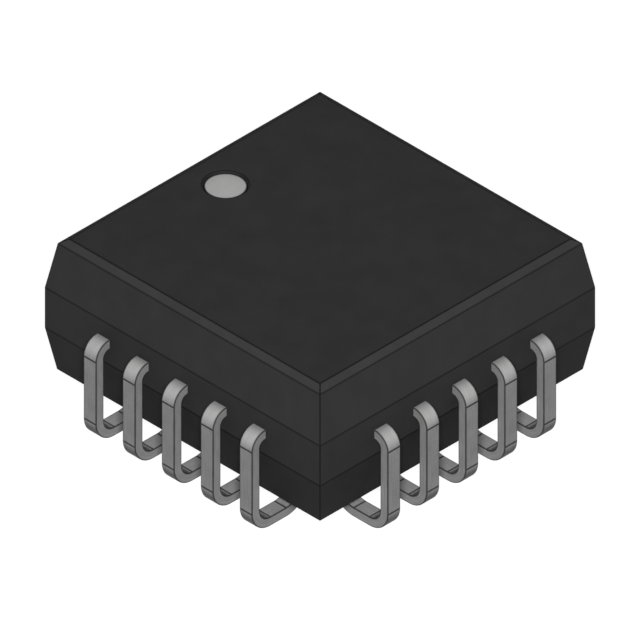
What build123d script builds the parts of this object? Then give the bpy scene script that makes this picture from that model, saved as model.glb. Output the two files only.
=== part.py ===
"""A 20-lead chip carrier: a square moulded case on J-shaped leads, five to a side.

The origin is the middle of the seating plane, which the feet rest on. +Z is up, and the first lead is the
middle one on the +Y side. Seen from above, the leads are numbered anticlockwise.
"""

import os
from math import atan, degrees, radians, sqrt, tan

from build123d import *

# Leads: how many there are, and the strip that they are stamped from
LEADS_PER_SIDE = 5
LEAD_PITCH = 1.27
LEAD_WIDTH = 0.41
LEAD_THICKNESS = 0.25

# Moulded case: from the middle of an end lead to the next side of the band, then heights from the board up
BODY_CORNER = 1.945
BODY_STANDOFF = 0.87
LOWER_HEIGHT = 1.18
BAND_HEIGHT = 1.13
UPPER_HEIGHT = 1.24
DRAFT_ANGLE = 9.6
BEVEL_WIDTH = 0.20
BEVEL_HEIGHT = 0.125

# J form of the leads, outside the case
FRAME_ABOVE_BAND_FOOT = 0.60
LEG_CLEARANCE = 0.22
SHOULDER_INSIDE_RADIUS = 0.175
LOWER_INSIDE_RADIUS = 0.35
FOOT_FLAT_LENGTH = 0.52
TIP_INSIDE_RADIUS = 0.50
TIP_ANGLE = 70.0

# Fingers: the same strips inside the case, which converge on the die
LOCK_DEPTH = 0.75
LOCK_SHOULDER = 0.095
FINGER_TIP_WIDTH = 0.35
FINGER_TIP_GAP = 0.27
FINGER_TIP_LENGTH = 0.40

# Mark for the first lead: a round recess near the edge of the top face, with a disc of ink on its floor
RECESS_DIAMETER = 1.10
RECESS_TO_EDGE = 0.45
INK_TO_WALL = 0.05
INK_THICKNESS = 0.02
INK_BELOW_TOP = 0.045

# Ejector-pin mark in the middle of the underside
EJECTOR_MARK_DIAMETER = 2.0
EJECTOR_MARK_DEPTH = 0.05

# Die, adhesive and paddle
BOND_PAD_PITCH = 0.45
BOND_PAD_INSET = 0.12
DIE_CORNER = 0.40
DIE_THICKNESS = 0.35
ATTACH_THICKNESS = 0.03
ATTACH_MARGIN = 0.05
PADDLE_MARGIN = 0.45
PADDLE_DOWNSET = 0.33
PADDLE_CLEARANCE = 0.30
TIE_BAR_WIDTH = 0.30
TIE_BAR_CLEARANCE = 0.25
TIE_BAR_COVER = 0.42

# Bond wires: thinner than a hair, so their round section is drawn with a few flats
WIRE_DIAMETER = 0.03
WIRE_FLATS = 8
WIRE_RISE = 0.18
WIRE_DROP_RUN = 0.12
STITCH_INSET = 0.15

# Levels above the seating plane
BAND_FOOT = BODY_STANDOFF + LOWER_HEIGHT
BAND_TOP = BAND_FOOT + BAND_HEIGHT
BEVEL_FOOT = BAND_TOP + UPPER_HEIGHT
TOP_FACE = BEVEL_FOOT + BEVEL_HEIGHT
INK_UNDERSIDE = TOP_FACE - INK_BELOW_TOP - INK_THICKNESS
FRAME_TOP = BAND_FOOT + FRAME_ABOVE_BAND_FOOT + LEAD_THICKNESS / 2
FRAME_UNDERSIDE = FRAME_TOP - LEAD_THICKNESS
PADDLE_TOP = FRAME_TOP - PADDLE_DOWNSET
PADDLE_UNDERSIDE = PADDLE_TOP - LEAD_THICKNESS
DIE_UNDERSIDE = PADDLE_TOP + ATTACH_THICKNESS
DIE_TOP = DIE_UNDERSIDE + DIE_THICKNESS
LOOP_TOP = max(DIE_TOP, FRAME_TOP) + WIRE_RISE

# Rows from end to end, between the middles of their end pieces
LEAD_ROW = (LEADS_PER_SIDE - 1) * LEAD_PITCH
BOND_PAD_ROW = (LEADS_PER_SIDE - 1) * BOND_PAD_PITCH
FINGER_TIP_PITCH = FINGER_TIP_WIDTH + FINGER_TIP_GAP
FINGER_TIP_ROW = (LEADS_PER_SIDE - 1) * FINGER_TIP_PITCH

# Square sections of the case, the die and the paddle
BODY_WIDTH = LEAD_ROW + 2 * BODY_CORNER
BEVEL_SQUARE = BODY_WIDTH - 2 * UPPER_HEIGHT * tan(radians(DRAFT_ANGLE))
TOP_SQUARE = BEVEL_SQUARE - 2 * BEVEL_WIDTH
DIE_SIDE = BOND_PAD_ROW + 2 * DIE_CORNER
ATTACH_SIDE = DIE_SIDE + 2 * ATTACH_MARGIN
PADDLE_SIDE = DIE_SIDE + 2 * PADDLE_MARGIN

# Distances from the middle of the case; the finger tips clear both the paddle and the tie bars
LEG_FACE = BODY_WIDTH / 2 + LEG_CLEARANCE + LEAD_THICKNESS
LOCK_END = BODY_WIDTH / 2 - LOCK_DEPTH
MARK_MIDDLE = TOP_SQUARE / 2 - RECESS_TO_EDGE - RECESS_DIAMETER / 2
BESIDE_TIE_BAR = (TIE_BAR_WIDTH / 2 + TIE_BAR_CLEARANCE) * sqrt(2)
FINGER_TIP = max(
    PADDLE_SIDE / 2 + PADDLE_CLEARANCE,
    FINGER_TIP_ROW / 2 + FINGER_TIP_WIDTH / 2 + BESIDE_TIE_BAR,
)
TIE_BAR_END = (BODY_WIDTH / 2) * sqrt(2) - TIE_BAR_COVER


def lead_places():
    """The number, side angle and place along its side of each lead, anticlockwise from the first."""
    for count in range(4 * LEADS_PER_SIDE):
        step = count + LEADS_PER_SIDE // 2
        side = step // LEADS_PER_SIDE
        place = step % LEADS_PER_SIDE - (LEADS_PER_SIDE - 1) / 2
        yield count + 1, 90 * (side + 1), place


def strip_line(depth):
    """A line along the bent strip in side view, at a depth below its outer surface.

    It runs out of the case, over the shoulder, down the leg, round the lower bend, in along the foot
    and up the tip. All bends turn the same way, so each radius loses the depth.
    """
    shoulder_radius = SHOULDER_INSIDE_RADIUS + LEAD_THICKNESS - depth
    lower_radius = LOWER_INSIDE_RADIUS + LEAD_THICKNESS - depth
    tip_radius = TIP_INSIDE_RADIUS + LEAD_THICKNESS - depth
    level = FRAME_TOP - depth
    leg_line = LEG_FACE - depth
    root = Line((LOCK_END, level), (leg_line - shoulder_radius, level))
    shoulder = JernArc(root @ 1, root % 1, shoulder_radius, -90)
    leg = Line(shoulder @ 1, (leg_line, depth + lower_radius))
    lower = JernArc(leg @ 1, leg % 1, lower_radius, -90)
    foot = Line(lower @ 1, (lower @ 1) - Vector(FOOT_FLAT_LENGTH, 0))
    tip = JernArc(foot @ 1, foot % 1, tip_radius, -TIP_ANGLE)
    return Curve() + [root, shoulder, leg, lower, foot, tip]


def bent_strip():
    """The J of a lead from the lock in the case to its tip, pointing along +X."""
    outer = strip_line(0)
    inner = strip_line(LEAD_THICKNESS)
    ends = [Line(outer @ 0, inner @ 0), Line(outer @ 1, inner @ 1)]
    side_view = make_face(outer + inner + ends)
    return extrude(Plane.XZ * side_view, LEAD_WIDTH / 2, both=True)


def finger(place):
    """The flat finger of the lead at a place along its side, from its lock to its bonded tip."""
    root = place * LEAD_PITCH
    tip = place * FINGER_TIP_PITCH
    lock_width = LEAD_WIDTH + 2 * LOCK_SHOULDER
    tip_root = FINGER_TIP + FINGER_TIP_LENGTH
    outline = Polyline(
        (LOCK_END, root - lock_width / 2),
        (LOCK_END, root + lock_width / 2),
        (tip_root, tip + FINGER_TIP_WIDTH / 2),
        (FINGER_TIP, tip + FINGER_TIP_WIDTH / 2),
        (FINGER_TIP, tip - FINGER_TIP_WIDTH / 2),
        (tip_root, tip - FINGER_TIP_WIDTH / 2),
        close=True,
    )
    return extrude(Pos(0, 0, FRAME_UNDERSIDE) * make_face(outline), LEAD_THICKNESS)


def lead(angle, place):
    """One whole lead at its place on the side that faces the given angle."""
    strip = Pos(0, place * LEAD_PITCH, 0) * bent_strip()
    return Rot(Z=angle) * (strip + finger(place))


def bond_wire(angle, place, lead_shape):
    """A wire that rises from its bond pad, crosses to the finger and comes down on it at a slant."""
    bond_pad = DIE_SIDE / 2 - BOND_PAD_INSET
    stitch = FINGER_TIP + STITCH_INSET
    pad_place = place * BOND_PAD_PITCH
    stitch_place = place * FINGER_TIP_PITCH
    along = Vector(stitch - bond_pad, stitch_place - pad_place).normalized()
    drop_start = Vector(stitch, stitch_place, LOOP_TOP) - along * WIRE_DROP_RUN
    sunk_end = Vector(stitch, stitch_place, FRAME_TOP - WIRE_DIAMETER)
    path = Polyline(
        (bond_pad, pad_place, DIE_TOP),
        (bond_pad, pad_place, LOOP_TOP),
        drop_start,
        sunk_end,
    )
    start = Plane((bond_pad, pad_place, DIE_TOP))
    section = start * RegularPolygon(WIRE_DIAMETER / 2, WIRE_FLATS, major_radius=False)
    wire = sweep(section, path=path, transition=Transition.RIGHT)
    return (Rot(Z=angle) * wire) - lead_shape


def plate(side, underside, thickness):
    """A square plate in the middle of the case."""
    return extrude(Pos(0, 0, underside) * Rectangle(side, side), thickness)


def tie_bar():
    """The bar from the paddle's corner towards the case's corner, stepped up to the fingers' level."""
    bar_root = PADDLE_SIDE / 2
    step_start = PADDLE_SIDE / sqrt(2) + TIE_BAR_WIDTH / 2
    step_end = step_start + PADDLE_DOWNSET
    underside = Polyline(
        (bar_root, PADDLE_UNDERSIDE),
        (step_start, PADDLE_UNDERSIDE),
        (step_end, FRAME_UNDERSIDE),
        (TIE_BAR_END, FRAME_UNDERSIDE),
    )
    top = Pos(0, LEAD_THICKNESS) * underside
    ends = [Line(underside @ 0, top @ 0), Line(underside @ 1, top @ 1)]
    side_view = make_face(underside + top + ends)
    return extrude(Plane.XZ * side_view, TIE_BAR_WIDTH / 2, both=True)


def die_pad():
    """The paddle and its four tie bars, stamped and bent in one piece."""
    bars = [Rot(Z=45 + 90 * corner) * tie_bar() for corner in range(4)]
    return plate(PADDLE_SIDE, PADDLE_UNDERSIDE, LEAD_THICKNESS) + bars


def case():
    """The outer form of the moulding: a vertical band, drafted walls above and below it, and a bevel."""
    square = Rectangle(BODY_WIDTH, BODY_WIDTH)
    bevel_square = Rectangle(BEVEL_SQUARE, BEVEL_SQUARE)
    bevel_angle = degrees(atan(BEVEL_WIDTH / BEVEL_HEIGHT))
    band = extrude(Pos(0, 0, BAND_FOOT) * square, BAND_HEIGHT)
    lower = extrude(Pos(0, 0, BAND_FOOT) * square, -LOWER_HEIGHT, taper=DRAFT_ANGLE)
    upper = extrude(Pos(0, 0, BAND_TOP) * square, UPPER_HEIGHT, taper=DRAFT_ANGLE)
    bevel = extrude(Pos(0, 0, BEVEL_FOOT) * bevel_square, BEVEL_HEIGHT, taper=bevel_angle)
    return band + lower + upper + bevel


def mark_disc(radius, thickness):
    """A disc in the middle of the first lead's mark, up from the floor of its recess."""
    return extrude(Pos(0, MARK_MIDDLE, INK_UNDERSIDE) * Circle(radius), thickness)


def ejector_mark():
    """The shallow round mark that the ejector pin leaves in the underside."""
    return extrude(Pos(0, 0, BODY_STANDOFF) * Circle(EJECTOR_MARK_DIAMETER / 2), EJECTOR_MARK_DEPTH)


def save(name, shape):
    """Writes one piece as a file of its own."""
    export_step(shape, f"parts/{name}.step")


os.makedirs("parts", exist_ok=True)

inside = {
    "die_pad": die_pad(),
    "die_attach": plate(ATTACH_SIDE, PADDLE_TOP, ATTACH_THICKNESS),
    "silicon_die": plate(DIE_SIDE, DIE_UNDERSIDE, DIE_THICKNESS),
}
for number, angle, place in lead_places():
    lead_shape = lead(angle, place)
    inside[f"lead_{number}"] = lead_shape
    inside[f"bond_wire_{number}"] = bond_wire(angle, place, lead_shape)

recess = mark_disc(RECESS_DIAMETER / 2, TOP_FACE - INK_UNDERSIDE)
body = case() - recess - ejector_mark() - list(inside.values())

save("body", body)
save("pin_1_dot", mark_disc(RECESS_DIAMETER / 2 - INK_TO_WALL, INK_THICKNESS))
for name, shape in inside.items():
    save(name, shape)
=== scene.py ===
"""A leaded chip carrier with twenty J leads, dressed for the camera.

The sections follow the way the real part is made: the stamped leads and paddle, the die and its wires,
the moulding round them and the ink mark. The studio comes last. Lengths are in metres.
"""

from collections import namedtuple
from math import atan2, ceil, cos, degrees, pi, radians, sin, sqrt, tan

import bmesh
import bpy
from mathutils import Matrix, Vector


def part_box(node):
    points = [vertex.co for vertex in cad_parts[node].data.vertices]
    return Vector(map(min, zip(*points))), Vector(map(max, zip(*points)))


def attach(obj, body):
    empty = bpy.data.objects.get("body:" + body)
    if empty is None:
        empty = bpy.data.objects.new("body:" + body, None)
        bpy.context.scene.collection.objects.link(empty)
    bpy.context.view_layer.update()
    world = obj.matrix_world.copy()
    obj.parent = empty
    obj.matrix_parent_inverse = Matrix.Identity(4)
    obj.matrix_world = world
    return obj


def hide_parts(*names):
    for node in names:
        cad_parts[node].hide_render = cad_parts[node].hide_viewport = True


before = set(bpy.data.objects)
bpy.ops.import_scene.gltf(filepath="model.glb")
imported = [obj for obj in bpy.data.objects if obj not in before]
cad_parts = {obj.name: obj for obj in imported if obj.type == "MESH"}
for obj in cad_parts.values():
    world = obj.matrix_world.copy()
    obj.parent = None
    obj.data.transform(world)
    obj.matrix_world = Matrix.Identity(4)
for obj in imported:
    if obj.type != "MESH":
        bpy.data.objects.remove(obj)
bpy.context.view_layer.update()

# Leads
# Each lead is one strip stamped from thin copper alloy and plated with matt tin, bent to a J outside the
# case and narrowed to a finger inside it. Its sheared corners are dull and slightly rounded. The forming
# leaves a line at both ends of each bend, and a fringe of resin creeps out where the lead leaves the case.
# Light and shade are painted into the tin's colour along each bend and flat.
MM = 0.001
LEADS_PER_SIDE = 5
LEAD_COUNT = 4 * LEADS_PER_SIDE
LEAD_PITCH = 1.27 * MM
LEAD_WIDTH = 0.41 * MM
LEAD_THICKNESS = 0.25 * MM
LOCK_DEPTH = 0.75 * MM
FINGER_TIP_WIDTH = 0.35 * MM
FINGER_TIP_PITCH = 0.62 * MM
FINGER_TIP_LENGTH = 0.40 * MM
SHOULDER_RADIUS = 0.425 * MM
LOWER_RADIUS = 0.60 * MM
TIP_RADIUS = 0.75 * MM
TIP_ANGLE = 70.0
FOOT_FLAT_LENGTH = 0.52 * MM
SHEARED_CORNER = 0.018 * MM
SHEARED_LINE = 0.038 * MM
CORNER_POINTS = 4
BEND_STEP = 5.0
TOOL_LINE = 0.030 * MM
RESIN_FRINGE = 0.040 * MM

# Painted light and shade on each bend and each flat: above 0 painted lighter, below 0 painted darker. On
# plain strip it is 0.
SHOULDER_PAINTED_HIGHLIGHT = 1.0
LEG_PAINTED_SHADE = -0.1
LOWER_BEND_PAINTED_SHADE = -2.0
FOOT_PAINTED_LIGHT = 0.3
TIP_PAINTED_LIGHT = 2.4
PAINTED_LIGHT_EFFECT = 0.42

DARK_TIN = (0.060, 0.060, 0.061)
BRIGHT_TIN = (0.280, 0.280, 0.278)
DULL_TIN = (0.018, 0.018, 0.018)
DULL_EFFECT = 0.95
LINE_SHARPNESS = 3.0

# The rings of the free tip's rounded end: how far each lies from the end, and how far the section is drawn
# in there, as shares of the sheared corner.
TIP_END = ((1.0, 0.0), (0.35, 0.25), (0.0, 0.75))

# A ring of a lead's skin has a point of the outer surface in side view, the angle that it faces there, the
# width and the place along the side. Then come the marks of tool line and resin, the painted light and
# shade, and how far the section is drawn in.
Ring = namedtuple("Ring", "point facing width middle line root worked inset", defaults=(0, 0, 0, 0))

case_low, case_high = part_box("body")
first_low, first_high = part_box("lead_1")
frame_top = first_high.z
leg_face = first_high.y
finger_tip = first_low.y
lock_width = first_high.x - first_low.x
case_face = case_high.y
lock_end = case_face - LOCK_DEPTH


def on_bend(centre, radius, facing):
    """The point of a bend's outer surface that faces an angle above the horizon, in side view."""
    return Vector((centre[0] + radius * cos(facing), centre[1] + radius * sin(facing)))


def bent_rings(middle):
    """Rings of the strip outside the case, over the shoulder, round the lower bend and up the tip."""
    foot_start = leg_face - LOWER_RADIUS
    shoulder = (leg_face - SHOULDER_RADIUS, frame_top - SHOULDER_RADIUS)
    lower = (foot_start, LOWER_RADIUS)
    tip = (foot_start - FOOT_FLAT_LENGTH, TIP_RADIUS)
    bends = (
        (shoulder, SHOULDER_RADIUS, 90, 0, SHOULDER_PAINTED_HIGHLIGHT, LEG_PAINTED_SHADE),
        (lower, LOWER_RADIUS, 0, -90, LOWER_BEND_PAINTED_SHADE, FOOT_PAINTED_LIGHT),
        (tip, TIP_RADIUS, -90, -90 - TIP_ANGLE, TIP_PAINTED_LIGHT, 0),
    )
    before = 0
    for centre, radius, start, end, worked, after in bends:
        first, last = radians(start), radians(end)
        line_turn = TOOL_LINE / radius
        into = Vector((sin(first), -cos(first))) * TOOL_LINE
        onward = Vector((sin(last), -cos(last))) * TOOL_LINE
        steps = ceil((start - end) / BEND_STEP)
        if centre != shoulder:
            yield Ring(on_bend(centre, radius, first) - into, first, LEAD_WIDTH, middle, worked=before)
            yield Ring(on_bend(centre, radius, first), first, LEAD_WIDTH, middle, line=1, worked=before)
        for step in range(steps + 1):
            share = step / steps
            facing = first - line_turn + (last - first + 2 * line_turn) * share
            # Painted light and shade, strongest in the middle of the bend.
            tone = worked * sin(pi * share)
            yield Ring(on_bend(centre, radius, facing), facing, LEAD_WIDTH, middle, worked=tone)
        if centre != tip:
            yield Ring(on_bend(centre, radius, last), last, LEAD_WIDTH, middle, line=1, worked=after)
            yield Ring(on_bend(centre, radius, last) + onward, last, LEAD_WIDTH, middle, worked=after)
        before = after
    for back, inset in TIP_END:
        point = on_bend(centre, radius, last) - onward * back * SHEARED_CORNER / TOOL_LINE
        yield Ring(point, last, LEAD_WIDTH, middle, inset=SHEARED_CORNER * inset)


def lead_rings(place):
    """Rings of the whole lead at a place along its side, from its bonded tip to its free tip."""
    up = radians(90)
    tip_middle = place * FINGER_TIP_PITCH
    root_middle = place * LEAD_PITCH
    for out, width, middle, root in (
        (finger_tip, FINGER_TIP_WIDTH, tip_middle, 0),
        (finger_tip + FINGER_TIP_LENGTH, FINGER_TIP_WIDTH, tip_middle, 0),
        (lock_end, lock_width, root_middle, 0),
        (lock_end + SHEARED_CORNER, LEAD_WIDTH, root_middle, 0),
        (case_face, LEAD_WIDTH, root_middle, 1),
        (case_face + RESIN_FRINGE, LEAD_WIDTH, root_middle, 0),
    ):
        yield Ring(Vector((out, frame_top)), up, width, middle, root=root)
    yield from bent_rings(root_middle)


def section_points(width, inset):
    """The strip's section: how far across, how far below the outer surface, and which way it faces."""
    across = width / 2 - SHEARED_CORNER
    radius = SHEARED_CORNER - inset
    upper, lower = SHEARED_CORNER, LEAD_THICKNESS - SHEARED_CORNER
    corners = ((across, upper, 90), (across, lower, 0), (-across, lower, -90), (-across, upper, -180))
    for middle, depth, start in corners:
        for step in range(CORNER_POINTS):
            angle = radians(start - 90 * step / (CORNER_POINTS - 1))
            yield middle + radius * cos(angle), depth - radius * sin(angle), angle


def build_lead(name, turn, place):
    """One lead as a closed skin over its rings, with what its finish and its painted light and shade need
    kept at its vertices.
    """
    rings = list(lead_rings(place))
    points, normals, strip = [], [], []
    masks = {"tool_line": [], "worked": []}
    along = 0.0
    for index, ring in enumerate(rings):
        along += (ring.point - rings[max(index - 1, 0)].point).length
        out, up = cos(ring.facing), sin(ring.facing)
        for across, depth, angle in section_points(ring.width, ring.inset):
            point = Vector((ring.point.x - out * depth, ring.middle + across, ring.point.y - up * depth))
            points.append(turn @ point)
            normals.append(turn @ Vector((out * sin(angle), cos(angle), up * sin(angle))))
            strip += (along, across, depth)
            masks["tool_line"].append(max(ring.line * abs(sin(angle)), ring.root))
            masks["worked"].append(ring.worked * abs(sin(angle)))
    count = 4 * CORNER_POINTS
    faces = [tuple(range(count)), tuple(reversed(range(len(points) - count, len(points))))]
    for start in range(0, len(points) - count, count):
        for side in range(count):
            near, far = start + side, start + (side + 1) % count
            faces.append((near, near + count, far + count, far))
    mesh = bpy.data.meshes.new(name)
    mesh.from_pydata(points, [], faces)
    mesh.shade_smooth()
    loop_normals = []
    for face in mesh.polygons:
        is_end = face.loop_total == count
        loop_normals += [face.normal if is_end else normals[vertex] for vertex in face.vertices]
    mesh.normals_split_custom_set(loop_normals)
    for label, values in masks.items():
        mesh.attributes.new(label, "FLOAT", "POINT").data.foreach_set("value", values)
    mesh.attributes.new("strip", "FLOAT_VECTOR", "POINT").data.foreach_set("vector", strip)
    lead = bpy.data.objects.new(name, mesh)
    bpy.context.scene.collection.objects.link(lead)
    return lead


def add_node(tree, kind, inputs=None, **settings):
    """A node of a kind with its settings. Each input is set to a value, or joined to a socket."""
    node = tree.nodes.new(kind)
    for key, value in settings.items():
        setattr(node, key, value)
    for key, value in (inputs or {}).items():
        if isinstance(value, bpy.types.NodeSocket):
            tree.links.new(value, node.inputs[key])
        else:
            node.inputs[key].default_value = value
    return node


def new_material(name):
    """A material with its node tree, the Principled shader in it and the place on the object."""
    material = bpy.data.materials.new(name)
    material.use_nodes = True
    tree = material.node_tree
    place = add_node(tree, "ShaderNodeTexCoord").outputs["Object"]
    return material, tree, tree.nodes["Principled BSDF"], place


def math_node(tree, operation, *values):
    """The result of a sum on sockets or numbers."""
    return add_node(tree, "ShaderNodeMath", dict(enumerate(values)), operation=operation).outputs[0]


def between(tree, share, low, high):
    """A value from low, where the share is 0, to high, where it is 1."""
    return math_node(tree, "MULTIPLY_ADD", share, high - low, low)


def tint(tree, share, first, second):
    """A colour from the first, where the share is 0, to the second, where it is 1."""
    mixer = add_node(tree, "ShaderNodeMix", {"Factor": share}, data_type="RGBA")
    sockets = [socket for socket in mixer.inputs if socket.type == "RGBA"]
    for socket, value in zip(sockets, (first, second)):
        if isinstance(value, bpy.types.NodeSocket):
            tree.links.new(value, socket)
        else:
            socket.default_value = (*value, 1.0)
    return [socket for socket in mixer.outputs if socket.type == "RGBA"][0]


def build_fine_grain():
    """The node group for a fine uneven surface: soft clouds and small grains, from 0 to 1."""
    group = bpy.data.node_groups.new("fine_grain", "ShaderNodeTree")
    group.interface.new_socket("Place", in_out="INPUT", socket_type="NodeSocketVector")
    group.interface.new_socket("Cloud Size", in_out="INPUT", socket_type="NodeSocketFloat")
    group.interface.new_socket("Grain Size", in_out="INPUT", socket_type="NodeSocketFloat")
    group.interface.new_socket("Cloud", in_out="OUTPUT", socket_type="NodeSocketFloat")
    group.interface.new_socket("Grain", in_out="OUTPUT", socket_type="NodeSocketFloat")
    given = group.nodes.new("NodeGroupInput").outputs
    result = group.nodes.new("NodeGroupOutput").inputs
    for name, detail in (("Cloud", 3.0), ("Grain", 2.0)):
        scale = math_node(group, "DIVIDE", 1.0, given[name + " Size"])
        noise = add_node(
            group, "ShaderNodeTexNoise", {"Vector": given["Place"], "Scale": scale, "Detail": detail}
        )
        group.links.new(noise.outputs["Fac"], result[name])
    return group


fine_grain = build_fine_grain()


def grain(tree, place, cloud_size, grain_size):
    """The fine grain in a material, as its cloud and its grain."""
    node = add_node(tree, "ShaderNodeGroup", node_tree=fine_grain)
    tree.links.new(place, node.inputs["Place"])
    node.inputs["Cloud Size"].default_value = cloud_size
    node.inputs["Grain Size"].default_value = grain_size
    return node.outputs["Cloud"], node.outputs["Grain"]


def squeezed(tree, place, share):
    """A place squeezed along X, so that a grain there is drawn out into streaks along X."""
    ends = {0: place, 1: (share, 1.0, 1.0)}
    return add_node(tree, "ShaderNodeVectorMath", ends, operation="MULTIPLY").outputs[0]


def blend(tree, *parts):
    """The sum of sockets, each with its weight."""
    total = None
    for socket, weight in parts:
        part = math_node(tree, "MULTIPLY", socket, weight)
        total = part if total is None else math_node(tree, "ADD", total, part)
    return total


def mask(tree, name):
    """What is kept at the vertices under a name."""
    return add_node(tree, "ShaderNodeAttribute", attribute_name=name).outputs["Fac"]


def distance_to(tree, place, point):
    """The distance of a place from a point."""
    ends = {0: place, 1: point}
    return add_node(tree, "ShaderNodeVectorMath", ends, operation="DISTANCE").outputs["Value"]


def line_share(tree, distance, width):
    """1 on a line and 0 from a width away from it."""
    limits = {"Value": distance, "From Min": width / 3, "From Max": width, "To Min": 1.0, "To Max": 0.0}
    return add_node(tree, "ShaderNodeMapRange", limits).outputs[0]


def sheared_share(tree, strip):
    """1 on the sheared corners of the strip and 0 away from them."""
    parts = add_node(tree, "ShaderNodeSeparateXYZ", {0: strip}).outputs
    off_middle = math_node(tree, "SUBTRACT", parts["Z"], LEAD_THICKNESS / 2)
    halves = {"X": math_node(tree, "ABSOLUTE", parts["Y"]), "Y": math_node(tree, "ABSOLUTE", off_middle)}
    section = add_node(tree, "ShaderNodeCombineXYZ", halves).outputs[0]
    corner = (LEAD_WIDTH / 2, LEAD_THICKNESS / 2, 0)
    return line_share(tree, distance_to(tree, section, corner), SHEARED_LINE)


def roughen(tree, shader, height, depth):
    """Bumps on the shader. Where the height is 1, they stand as high as the depth."""
    bump = add_node(tree, "ShaderNodeBump", {"Strength": 1.0, "Distance": depth, "Height": height})
    tree.links.new(bump.outputs["Normal"], shader.inputs["Normal"])


def tin_material():
    """Matt tin: small crystals, faint streaks along the strip, dull sheared corners and tool lines, and
    painted light and shade along the bends.
    """
    material, tree, shader, place = new_material("matt_tin")
    strip = add_node(tree, "ShaderNodeAttribute", attribute_name="strip").outputs["Vector"]
    streak = grain(tree, squeezed(tree, strip, 0.06), cloud_size=0.12 * MM, grain_size=0.035 * MM)[1]
    cloud, crystal = grain(tree, place, cloud_size=0.30 * MM, grain_size=0.022 * MM)
    share = blend(tree, (streak, 0.45), (crystal, 0.35), (cloud, 0.20))
    # Painted light and shade along the lead, kept at its vertices.
    worked = math_node(tree, "MULTIPLY_ADD", mask(tree, "worked"), PAINTED_LIGHT_EFFECT, share)
    plated = tint(tree, worked, DARK_TIN, BRIGHT_TIN)
    line = math_node(tree, "MULTIPLY", mask(tree, "tool_line"), LINE_SHARPNESS)
    dull = math_node(tree, "MAXIMUM", sheared_share(tree, strip), math_node(tree, "MINIMUM", line, 1.0))
    colour = tint(tree, math_node(tree, "MULTIPLY", dull, DULL_EFFECT), plated, DULL_TIN)
    tree.links.new(colour, shader.inputs["Base Color"])
    tree.links.new(between(tree, share, 0.38, 0.58), shader.inputs["Roughness"])
    shader.inputs["Metallic"].default_value = 0.10
    shader.inputs["Specular IOR Level"].default_value = 0.06
    height = blend(tree, (streak, 0.4), (crystal, 0.3), (dull, -0.5))
    roughen(tree, shader, height, depth=0.0015 * MM)
    return material


matt_tin = tin_material()
leads = []
for count in range(LEAD_COUNT):
    step = count + LEADS_PER_SIDE // 2
    place = step % LEADS_PER_SIDE - (LEADS_PER_SIDE - 1) / 2
    turn = Matrix.Rotation(radians(90 * (step // LEADS_PER_SIDE + 1)), 3, "Z")
    lead = build_lead(f"tinned_lead_{count + 1}", turn, place)
    lead.data.materials.append(matt_tin)
    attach(lead, "root")
    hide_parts(f"lead_{count + 1}")
    leads.append(lead)

# Paddle
# The paddle that carries the die is stamped from the same sheet as the leads, with a tie bar at each
# corner. It is bare copper alloy in the moulding, with fine rolling lines and a little brown tarnish.


def dress(name, material):
    """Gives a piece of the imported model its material."""
    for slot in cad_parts[name].material_slots:
        slot.material = material


def copper_material():
    """Rolled copper alloy."""
    material, tree, shader, place = new_material("rolled_copper")
    lines = grain(tree, squeezed(tree, place, 0.05), cloud_size=0.10 * MM, grain_size=0.03 * MM)[1]
    tarnish = grain(tree, place, cloud_size=0.60 * MM, grain_size=0.05 * MM)[0]
    bright = tint(tree, lines, (0.62, 0.30, 0.17), (0.86, 0.50, 0.33))
    brown = (0.28, 0.12, 0.06)
    tree.links.new(tint(tree, blend(tree, (tarnish, 0.6)), bright, brown), shader.inputs["Base Color"])
    tree.links.new(between(tree, tarnish, 0.22, 0.52), shader.inputs["Roughness"])
    shader.inputs["Metallic"].default_value = 1.0
    roughen(tree, shader, lines, depth=0.001 * MM)
    return material


dress("die_pad", copper_material())

# Die adhesive
# A thin layer of epoxy filled with silver flakes, printed on the paddle and cured under the die.


def adhesive_material():
    """Silver flakes in epoxy."""
    flake_size = 0.02 * MM
    material, tree, shader, place = new_material("silver_adhesive")
    cells = add_node(tree, "ShaderNodeTexVoronoi", {"Vector": place, "Scale": 1 / flake_size}).outputs
    flake = add_node(tree, "ShaderNodeSeparateColor", {0: cells["Color"]}).outputs[0]
    colour = tint(tree, flake, (0.40, 0.40, 0.39), (0.74, 0.74, 0.72))
    tree.links.new(colour, shader.inputs["Base Color"])
    tree.links.new(between(tree, flake, 0.35, 0.65), shader.inputs["Roughness"])
    tree.links.new(between(tree, flake, 0.50, 0.90), shader.inputs["Metallic"])
    roughen(tree, shader, flake, depth=0.002 * MM)
    return material


dress("die_attach", adhesive_material())

# Die
# The chip itself, sawn from a silicon wafer. It is blocked out with the fine pattern of the circuit under a
# thin glassy layer.


def silicon_material():
    """Patterned silicon: blocks of slightly different tint with bright lines between them."""
    material, tree, shader, place = new_material("patterned_silicon")
    blocks = add_node(tree, "ShaderNodeTexBrick", {
        "Vector": place,
        "Scale": 1 / MM,
        "Brick Width": 0.30,
        "Row Height": 0.16,
        "Mortar Size": 0.010,
        "Color1": (0.10, 0.12, 0.20, 1),
        "Color2": (0.16, 0.14, 0.24, 1),
        "Mortar": (0.45, 0.44, 0.42, 1),
    })
    cloud, fine = grain(tree, place, cloud_size=0.20 * MM, grain_size=0.01 * MM)
    colour = tint(tree, blend(tree, (fine, 0.4)), blocks.outputs["Color"], (0.05, 0.05, 0.06))
    tree.links.new(colour, shader.inputs["Base Color"])
    tree.links.new(between(tree, cloud, 0.12, 0.22), shader.inputs["Roughness"])
    shader.inputs["Metallic"].default_value = 0.6
    roughen(tree, shader, blocks.outputs["Fac"], depth=0.0005 * MM)
    return material


dress("silicon_die", silicon_material())

# Bond wires
# Twenty drawn gold wires, thinner than a hair, each welded to a pad of the die and stitched to a finger.


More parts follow.
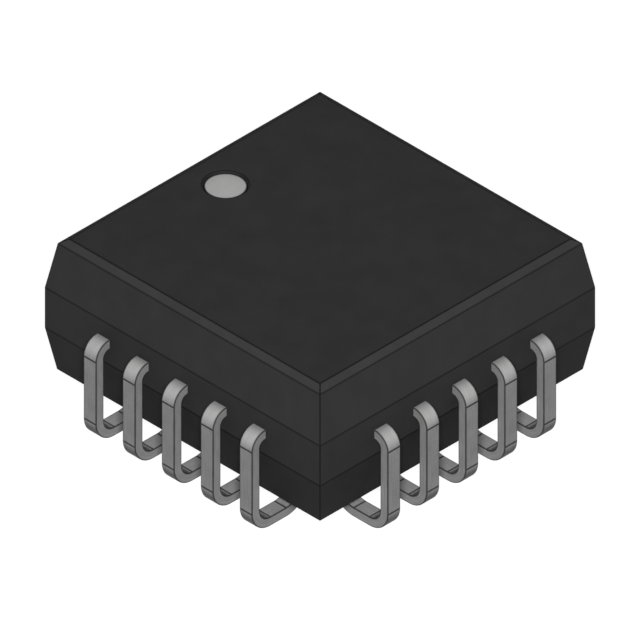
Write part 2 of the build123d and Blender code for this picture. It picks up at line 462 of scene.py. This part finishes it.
def gold_material():
    """Drawn gold, with faint lines from the die that it was drawn through."""
    material, tree, shader, place = new_material("drawn_gold")
    cloud, lines = grain(tree, place, cloud_size=0.10 * MM, grain_size=0.004 * MM)
    colour = tint(tree, blend(tree, (lines, 0.6), (cloud, 0.4)), (0.80, 0.52, 0.16), (1.0, 0.77, 0.36))
    tree.links.new(colour, shader.inputs["Base Color"])
    tree.links.new(between(tree, lines, 0.14, 0.29), shader.inputs["Roughness"])
    shader.inputs["Metallic"].default_value = 1.0
    roughen(tree, shader, lines, depth=0.0003 * MM)
    return material


drawn_gold = gold_material()
for count in range(LEAD_COUNT):
    dress(f"bond_wire_{count + 1}", drawn_gold)

# Moulded case
# The case is one transfer moulding in black epoxy filled with silica powder, flowed round the leads, the
# die and its wires. Its faces are matt from the mould, most of all the bevel, and its edges are slightly
# rounded and darker, because little of the filler reaches them. Light and shade are painted into its colour:
# each face is painted paler or darker for the way the light falls on it, and painted shade lies in the
# recess and round the foot of the ink.
DRAFT_ANGLE = 9.6
LOWER_HEIGHT = 1.18 * MM
BAND_HEIGHT = 1.13 * MM
BEVEL_WIDTH = 0.20 * MM
BEVEL_HEIGHT = 0.125 * MM
EDGE_RADIUS = 0.018 * MM
DRAFT_EDGE_RADIUS = 0.150 * MM
EDGE_STEP = 12.0
EDGE_LINE = 0.034 * MM
RECESS_RADIUS = 0.55 * MM
RIM_RADIUS = 0.015 * MM
RIM_LINE = 0.032 * MM
RIM_POINTS = 120
EJECTOR_MARK_RADIUS = 1.0 * MM
EJECTOR_MARK_DEPTH = 0.05 * MM
WELD = 0.00001 * MM

# A face belongs to a plane of the case where it hardly faces sideways and otherwise faces as the plane.
SIDEWAYS_LIMIT = 0.001
FACING_LIMIT = 0.99999

# How dark the resin is on the edges from the underside up, on all of them together and on the rim of the
# recess, and how dark the painted shade inside the recess is.
EDGE_TONES = (1.0, 0.95, 0.80, 0.70, 0.95)
EDGE_EFFECT = 0.85
RIM_TONE = 0.75
RECESS_PAINTED_SHADE = 0.38

# Painted light and shade on the faces: how much paler the band, the upper walls, the bevel and the top are
# painted, each than what lies below it.
PAINTED_LIGHT_UPWARDS = (0.19, 0.09, 0.27, -0.52)
DARK_EPOXY = (0.0064, 0.0064, 0.0065)
PALE_EPOXY = (0.0324, 0.0324, 0.0326)
# Nearly plain resin: the darker edges, the black under thin ink, and the painted shade in the recess.
RESIN_AND_SHADE = (0.003, 0.003, 0.003)
SHEEN = 0.03

ink_low, ink_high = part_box("pin_1_dot")
ink_middle = (ink_low + ink_high) / 2
ink_radius = (ink_high.x - ink_low.x) / 2
draft = tan(radians(DRAFT_ANGLE))
band_foot = case_low.z + LOWER_HEIGHT
band_top = band_foot + BAND_HEIGHT
bevel_foot = case_high.z - BEVEL_HEIGHT
bevel_half = case_face - (bevel_foot - band_top) * draft
case_edges = (
    Vector((case_face - LOWER_HEIGHT * draft, case_low.z)),
    Vector((case_face, band_foot)),
    Vector((case_face, band_top)),
    Vector((bevel_half, bevel_foot)),
    Vector((bevel_half - BEVEL_WIDTH, case_high.z)),
)
side_view = (Vector((0, case_low.z)), *case_edges, Vector((0, case_high.z)))


def rounded_corner(before, corner, after, radius):
    """Points round a corner of an outline."""
    back, on = (before - corner).normalized(), (after - corner).normalized()
    half = back.angle(on) / 2
    reach = radius / tan(half)
    centre = corner + (back + on).normalized() * radius / sin(half)
    start = corner + back * reach - centre
    turn = start.angle_signed(corner + on * reach - centre)
    steps = max(3, ceil(degrees(abs(turn)) / EDGE_STEP))
    return [centre + Matrix.Rotation(-turn * step / steps, 2) @ start for step in range(steps + 1)]


def case_outline():
    """The case in side view, from the edge of the underside to the edge of the top."""
    points = []
    for before, corner, after in zip(side_view, side_view[1:], side_view[2:]):
        gentle = (after - corner).angle(corner - before) < radians(2 * DRAFT_ANGLE)
        points += rounded_corner(before, corner, after, DRAFT_EDGE_RADIUS if gentle else EDGE_RADIUS)
    return points


def square_ring(half, height):
    """A square ring with rounded corners, anticlockwise."""
    corner = Vector((half, half))
    outline = rounded_corner(Vector((half, 0)), corner, Vector((0, half)), EDGE_RADIUS)
    for quarter in range(4):
        turn = Matrix.Rotation(radians(90 * quarter), 2)
        for point in outline:
            yield (turn @ point).to_3d() + Vector((0, 0, height))


def round_ring(middle, radius, height):
    """A round ring, anticlockwise."""
    for point in range(RIM_POINTS):
        angle = 2 * pi * point / RIM_POINTS
        yield Vector((middle.x + radius * cos(angle), middle.y + radius * sin(angle), height))


def skin(mesh, rings):
    """Bands of faces over closed rings. Returns the vertices of the first ring and the last."""
    rows = [[mesh.verts.new(point) for point in ring] for ring in rings]
    for low, high in zip(rows, rows[1:]):
        for side in range(len(low)):
            after = (side + 1) % len(low)
            mesh.faces.new((low[side], low[after], high[after], high[side]))
    return rows[0], rows[-1]


def ring_edges(mesh, row):
    """The edges round a ring of vertices."""
    return [mesh.edges.get(pair) or mesh.edges.new(pair) for pair in zip(row, row[1:] + row[:1])]


def recess_rings(middle, radius, face, floor):
    """Rings of a shallow round recess, from its rounded rim to its floor."""
    inward = RIM_RADIUS if floor > face else -RIM_RADIUS
    for angle in (0, 30, 60, 90):
        lean = radians(angle)
        yield round_ring(middle, radius + RIM_RADIUS * (1 - sin(lean)), face + inward * (1 - cos(lean)))
    yield round_ring(middle, radius, floor)


def case_shell():
    """The outside of the case as one closed skin."""
    shell = bmesh.new()
    under, top = skin(shell, [square_ring(half, height) for half, height in case_outline()])
    marks = (
        (under, Vector((0, 0, 0)), EJECTOR_MARK_RADIUS, case_low.z, case_low.z + EJECTOR_MARK_DEPTH),
        (top, ink_middle, RECESS_RADIUS, case_high.z, ink_low.z),
    )
    for edge, middle, radius, face, floor in marks:
        rim, bottom = skin(shell, recess_rings(middle, radius, face, floor))
        shell.faces.new(bottom)
        outline = ring_edges(shell, edge) + ring_edges(shell, rim)
        bmesh.ops.triangle_fill(shell, edges=outline, use_beauty=True)
    bmesh.ops.recalc_face_normals(shell, faces=shell.faces)
    mesh = bpy.data.meshes.new("moulded_case")
    shell.to_mesh(mesh)
    shell.free()
    return mesh


def closed_copy(name):
    """A copy of a sealed piece with its split vertices joined, to cut its place in the case."""
    copy = bmesh.new()
    copy.from_mesh(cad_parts[name].data)
    bmesh.ops.remove_doubles(copy, verts=copy.verts, dist=WELD)
    mesh = bpy.data.meshes.new("place_of_" + name)
    copy.to_mesh(mesh)
    copy.free()
    return bpy.data.objects.new("place_of_" + name, mesh)


def cut_places(case):
    """Cuts the places of the leads and of the sealed pieces out of the case."""
    places = bpy.data.collections.new("places")
    bpy.context.scene.collection.children.link(places)
    sealed = [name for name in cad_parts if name.startswith(("bond_wire_", "die_", "silicon_"))]
    copies = [closed_copy(name) for name in sealed]
    for piece in leads + copies:
        places.objects.link(piece)
    cut = case.modifiers.new("places", "BOOLEAN")
    cut.operation = "DIFFERENCE"
    cut.operand_type = "COLLECTION"
    cut.collection = places
    cut.solver = "MANIFOLD"
    evaluated = case.evaluated_get(bpy.context.evaluated_depsgraph_get())
    shell = bmesh.new()
    shell.from_mesh(evaluated.data)
    bmesh.ops.dissolve_degenerate(shell, dist=WELD, edges=shell.edges)
    case.modifiers.clear()
    shell.to_mesh(case.data)
    shell.free()
    for copy in copies:
        bpy.data.objects.remove(copy)
    bpy.data.collections.remove(places)


def shade_case(mesh):
    """Flat shading on the planes of the case, and smooth shading on its rounded edges and rims."""
    mesh.shade_smooth()
    mesh.set_sharp_from_angle(angle=radians(3 * EDGE_STEP))
    planes = [(after - before).orthogonal().normalized() for before, after in zip(side_view, side_view[1:])]
    for face in mesh.polygons:
        out, side = sorted((abs(face.normal.x), abs(face.normal.y)), reverse=True)
        facing = Vector((out, face.normal.z))
        if side < SIDEWAYS_LIMIT and any(abs(facing.dot(plane)) > FACING_LIMIT for plane in planes):
            face.use_smooth = False


def edge_share(tree, place):
    """1 on the edges of the case and 0 away from them."""
    parts = add_node(tree, "ShaderNodeSeparateXYZ", {0: place}).outputs
    across, along = math_node(tree, "ABSOLUTE", parts["X"]), math_node(tree, "ABSOLUTE", parts["Y"])
    height = parts["Z"]
    outward = math_node(tree, "MAXIMUM", across, along)
    seen = add_node(tree, "ShaderNodeCombineXYZ", {"X": outward, "Z": height}).outputs[0]
    below_top = math_node(tree, "LESS_THAN", height, case_high.z - EDGE_RADIUS / 2)
    above_foot = math_node(tree, "GREATER_THAN", height, case_low.z + EDGE_RADIUS / 2)
    off_corner = math_node(tree, "ABSOLUTE", math_node(tree, "SUBTRACT", across, along))
    corners = line_share(tree, off_corner, EDGE_LINE)
    share = math_node(tree, "MULTIPLY", corners, math_node(tree, "MULTIPLY", below_top, above_foot))
    for edge, tone in zip(case_edges, EDGE_TONES):
        on_edge = line_share(tree, distance_to(tree, seen, (edge.x, 0, edge.y)), EDGE_LINE)
        share = math_node(tree, "MAXIMUM", share, math_node(tree, "MULTIPLY", on_edge, tone))
    return share


def above(tree, place, level):
    """1 above a level and 0 below it."""
    height = add_node(tree, "ShaderNodeSeparateXYZ", {0: place}).outputs["Z"]
    return math_node(tree, "GREATER_THAN", height, level)


def off_ink_middle(tree, place):
    """How far a place lies from the upright line through the middle of the ink."""
    ends = {0: place, 1: (1, 1, 0)}
    flat = add_node(tree, "ShaderNodeVectorMath", ends, operation="MULTIPLY").outputs[0]
    return distance_to(tree, flat, (ink_middle.x, ink_middle.y, 0))


def rim_and_painted_shade(tree, place):
    """Painted shade round the foot of the ink and in the recess, with the dark line on its rim: 1 round the
    foot of the ink, and less on the rim of the recess and the rest of it.
    """
    off_middle = off_ink_middle(tree, place)
    height = add_node(tree, "ShaderNodeSeparateXYZ", {0: place}).outputs["Z"]
    seen = add_node(tree, "ShaderNodeCombineXYZ", {"X": off_middle, "Z": height}).outputs[0]
    on_rim = line_share(tree, distance_to(tree, seen, (RECESS_RADIUS, 0, case_high.z)), RIM_LINE)
    rim = math_node(tree, "MULTIPLY", on_rim, RIM_TONE)
    foot = line_share(tree, distance_to(tree, seen, (ink_radius, 0, ink_low.z)), RIM_LINE)
    inside = math_node(tree, "LESS_THAN", off_middle, RECESS_RADIUS + RIM_RADIUS / 2)
    near_top = math_node(tree, "MULTIPLY", above(tree, place, bevel_foot), RECESS_PAINTED_SHADE)
    # Painted shade inside the recess.
    recess_shade = math_node(tree, "MULTIPLY", inside, near_top)
    return math_node(tree, "MAXIMUM", recess_shade, math_node(tree, "MAXIMUM", rim, foot))


def epoxy_material():
    """Black filled epoxy with darker edges, painted light and shade on its faces and painted shade in its
    recess. On the bevel and in the recess it has no sheen.
    """
    material, tree, shader, place = new_material("black_epoxy")
    cloud, powder = grain(tree, place, cloud_size=0.70 * MM, grain_size=0.026 * MM)
    just_below_top = case_high.z - RIM_RADIUS / 9
    levels = (band_foot, band_top, bevel_foot, just_below_top)
    parts = [above(tree, place, level) for level in levels]
    # Each face is painted paler or darker for the way the light falls on it.
    share = blend(tree, (cloud, 0.3), (powder, 0.4), *zip(parts, PAINTED_LIGHT_UPWARDS))
    filled = tint(tree, share, DARK_EPOXY, PALE_EPOXY)
    edges = math_node(tree, "MULTIPLY", edge_share(tree, place), EDGE_EFFECT)
    # The darker edges, with the painted shade in the recess and round the foot of the ink.
    resin_and_shade = math_node(tree, "MAXIMUM", edges, rim_and_painted_shade(tree, place))
    tree.links.new(tint(tree, resin_and_shade, filled, RESIN_AND_SHADE), shader.inputs["Base Color"])
    tree.links.new(between(tree, powder, 0.50, 0.70), shader.inputs["Roughness"])
    bevel_and_top, top = parts[2:]
    on_bevel = math_node(tree, "SUBTRACT", bevel_and_top, top)
    tree.links.new(between(tree, on_bevel, SHEEN, 0.0), shader.inputs["Specular IOR Level"])
    roughen(tree, shader, powder, depth=0.0015 * MM)
    return material


case = bpy.data.objects.new("moulded_case", case_shell())
bpy.context.scene.collection.objects.link(case)
cut_places(case)
shade_case(case.data)
case.data.materials.clear()
case.data.materials.append(epoxy_material())
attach(case, "root")
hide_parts("body")

# Mark of the first lead
# A drop of light grey ink, set down on the floor of the round recess. It is matt and a little uneven,
# slightly crowned and rounded at its edge. There it thins out, so that the black shows through, and it ends
# just short of the wall.
INK_RINGS = 14
INK_EDGE = 0.010 * MM
INK_THIN = 0.042 * MM
INK_CROWN = 0.003 * MM
INK_WAVE = 0.0010 * MM
WAVES_ACROSS = 9 / MM
WAVES_ALONG = 7 / MM
DARK_INK = (0.233, 0.233, 0.231)
LIGHT_INK = (0.305, 0.305, 0.303)
PIT = (0.12, 0.12, 0.12)


def ink_rings():
    """Rings of the ink from the edge of its underside, round its edge and in over its surface."""
    crest = ink_high.z - INK_WAVE
    yield round_ring(ink_middle, ink_radius, ink_low.z)
    for angle in (0, 30, 60):
        inset, drop = INK_EDGE * (1 - cos(radians(angle))), INK_EDGE * (1 - sin(radians(angle)))
        yield round_ring(ink_middle, ink_radius - inset, crest - INK_CROWN - drop)
    for step in range(INK_RINGS):
        share = 1 - step / INK_RINGS
        ring = []
        for point in round_ring(ink_middle, (ink_radius - INK_EDGE) * share, crest - INK_CROWN * share ** 2):
            wave = sin(point.x * WAVES_ACROSS) * cos(point.y * WAVES_ALONG)
            ring.append(point + Vector((0, 0, INK_WAVE * wave * (1 - share ** 6))))
        yield ring


def ink_material():
    """Matt marking ink, with small pits where the black shows through a little."""
    material, tree, shader, place = new_material("marking_ink")
    cloud, fine = grain(tree, place, cloud_size=0.25 * MM, grain_size=0.020 * MM)
    share = blend(tree, (cloud, 0.5), (fine, 0.5))
    limits = {"Value": fine, "From Min": 0.26, "From Max": 0.34, "To Min": 0.5, "To Max": 0.0}
    pitted = add_node(tree, "ShaderNodeMapRange", limits).outputs[0]
    uneven = tint(tree, pitted, tint(tree, share, DARK_INK, LIGHT_INK), PIT)
    from_edge = math_node(tree, "SUBTRACT", ink_radius, off_ink_middle(tree, place))
    thin = line_share(tree, from_edge, INK_THIN)
    tree.links.new(tint(tree, thin, uneven, RESIN_AND_SHADE), shader.inputs["Base Color"])
    tree.links.new(between(tree, share, 0.60, 0.80), shader.inputs["Roughness"])
    shader.inputs["Specular IOR Level"].default_value = 0.2
    roughen(tree, shader, fine, depth=0.0015 * MM)
    return material


ink_skin = bmesh.new()
under, middle = skin(ink_skin, ink_rings())
ink_skin.faces.new(under)
ink_skin.faces.new(middle)
bmesh.ops.recalc_face_normals(ink_skin, faces=ink_skin.faces)
ink = bpy.data.objects.new("ink_dot", bpy.data.meshes.new("ink_dot"))
ink_skin.to_mesh(ink.data)
ink_skin.free()
bpy.context.scene.collection.objects.link(ink)
ink.data.shade_smooth()
ink.data.set_sharp_from_angle(angle=radians(3 * EDGE_STEP))
ink.data.materials.append(ink_material())
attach(ink, "root")
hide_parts("pin_1_dot")

# Studio
# A pale floor that reads as plain white paper and keeps the soft shadow of the part. One soft lamp stands
# behind the camera, and two low ones light the far sides. The camera looks along the three-way diagonal
# with no perspective, as the picture does.
CAMERA_TURN = -45.0
CAMERA_RISE = degrees(atan2(1.0, sqrt(2.0)))
VIEW_WIDTH = 14.736 * MM
AIM_HEIGHT = 2.256 * MM
CAMERA_DISTANCE = 120 * MM
LAMP_DISTANCE = 200 * MM
FRONT_LAMP_SIZE = 36 * MM
FRONT_LAMP_POWER = 0.70
REAR_LAMP_TURN = 140.0
REAR_LAMP_RISE = 5.0
REAR_LAMP_SIZE = 90 * MM
REAR_LAMP_POWER = 0.38
FLOOR_SIZE = 400 * MM
ROOM_LIGHT = 0.04
PAPER_GLOW = 0.90


def towards(turn, rise):
    """The direction from the part to a place at an azimuth and an elevation, in degrees."""
    turn, rise = radians(turn), radians(rise)
    return Vector((sin(turn) * cos(rise), -cos(turn) * cos(rise), sin(rise)))


def aim_from(thing, turn, rise, distance):
    """Puts a lamp or a camera at a distance from the part and turns it to face it."""
    outward = towards(turn, rise)
    thing.location = Vector((0, 0, AIM_HEIGHT)) + outward * distance
    thing.rotation_euler = (-outward).to_track_quat("-Z", "Y").to_euler()
    bpy.context.scene.collection.objects.link(thing)


camera = bpy.data.objects.new("camera", bpy.data.cameras.new("camera"))
camera.data.type = "ORTHO"
camera.data.ortho_scale = VIEW_WIDTH
camera.data.clip_start = MM
camera.data.clip_end = 1000 * MM
aim_from(camera, CAMERA_TURN, CAMERA_RISE, CAMERA_DISTANCE)
bpy.context.scene.camera = camera

for name, turn, rise, size, power in (
    ("front_lamp", CAMERA_TURN, CAMERA_RISE, FRONT_LAMP_SIZE, FRONT_LAMP_POWER),
    ("left_rear_lamp", CAMERA_TURN + REAR_LAMP_TURN, REAR_LAMP_RISE, REAR_LAMP_SIZE, REAR_LAMP_POWER),
    ("right_rear_lamp", CAMERA_TURN - REAR_LAMP_TURN, REAR_LAMP_RISE, REAR_LAMP_SIZE, REAR_LAMP_POWER),
):
    lamp = bpy.data.objects.new(name, bpy.data.lights.new(name, "AREA"))
    lamp.data.shape = "SQUARE"
    lamp.data.size = size
    lamp.data.energy = power
    aim_from(lamp, turn, rise, LAMP_DISTANCE)


def seen_directly(tree):
    """1 for rays that show the white background: from the camera, or mirrored or bent by the part."""
    path = add_node(tree, "ShaderNodeLightPath").outputs
    mirrored = math_node(tree, "MAXIMUM", path["Is Glossy Ray"], path["Is Transmission Ray"])
    return math_node(tree, "MAXIMUM", path["Is Camera Ray"], mirrored)


world = bpy.data.worlds.new("studio")
bpy.context.scene.world = world
world.use_nodes = True
sky = world.node_tree
room = sky.nodes["Background"]
room.inputs["Color"].default_value = (1, 1, 1, 1)
room.inputs["Strength"].default_value = ROOM_LIGHT
white = add_node(sky, "ShaderNodeBackground", {"Color": (1, 1, 1, 1), "Strength": 1.0})
choices = {0: seen_directly(sky), 1: room.outputs[0], 2: white.outputs[0]}
either = add_node(sky, "ShaderNodeMixShader", choices)
sky.links.new(either.outputs[0], sky.nodes["World Output"].inputs["Surface"])


def paper_material():
    """Pale paper that shows white, keeps a soft shadow, and is clear from below."""
    material, tree, shader, place = new_material("pale_paper")
    fibre = grain(tree, place, cloud_size=4 * MM, grain_size=0.2 * MM)[0]
    sheet_colour = tint(tree, fibre, (0.15, 0.15, 0.15), (0.17, 0.17, 0.17))
    tree.links.new(sheet_colour, shader.inputs["Base Color"])
    shader.inputs["Roughness"].default_value = 1.0
    shader.inputs["Specular IOR Level"].default_value = 0.0
    shader.inputs["Emission Color"].default_value = (1, 1, 1, 1)
    glow = math_node(tree, "MULTIPLY", seen_directly(tree), PAPER_GLOW)
    tree.links.new(glow, shader.inputs["Emission Strength"])
    below = add_node(tree, "ShaderNodeNewGeometry").outputs["Backfacing"]
    clear = add_node(tree, "ShaderNodeBsdfTransparent").outputs[0]
    sheet = add_node(tree, "ShaderNodeMixShader", {0: below, 1: shader.outputs[0], 2: clear})
    tree.links.new(sheet.outputs[0], tree.nodes["Material Output"].inputs["Surface"])
    return material


floor = bpy.data.objects.new("floor", bpy.data.meshes.new("floor"))
floor_corners = [(across, along, 0) for across, along in ((-1, -1), (1, -1), (1, 1), (-1, 1))]
floor.data.from_pydata([Vector(corner) * FLOOR_SIZE / 2 for corner in floor_corners], [], [(0, 1, 2, 3)])
floor.data.materials.append(paper_material())
bpy.context.scene.collection.objects.link(floor)

bpy.context.scene.view_settings.view_transform = "Standard"
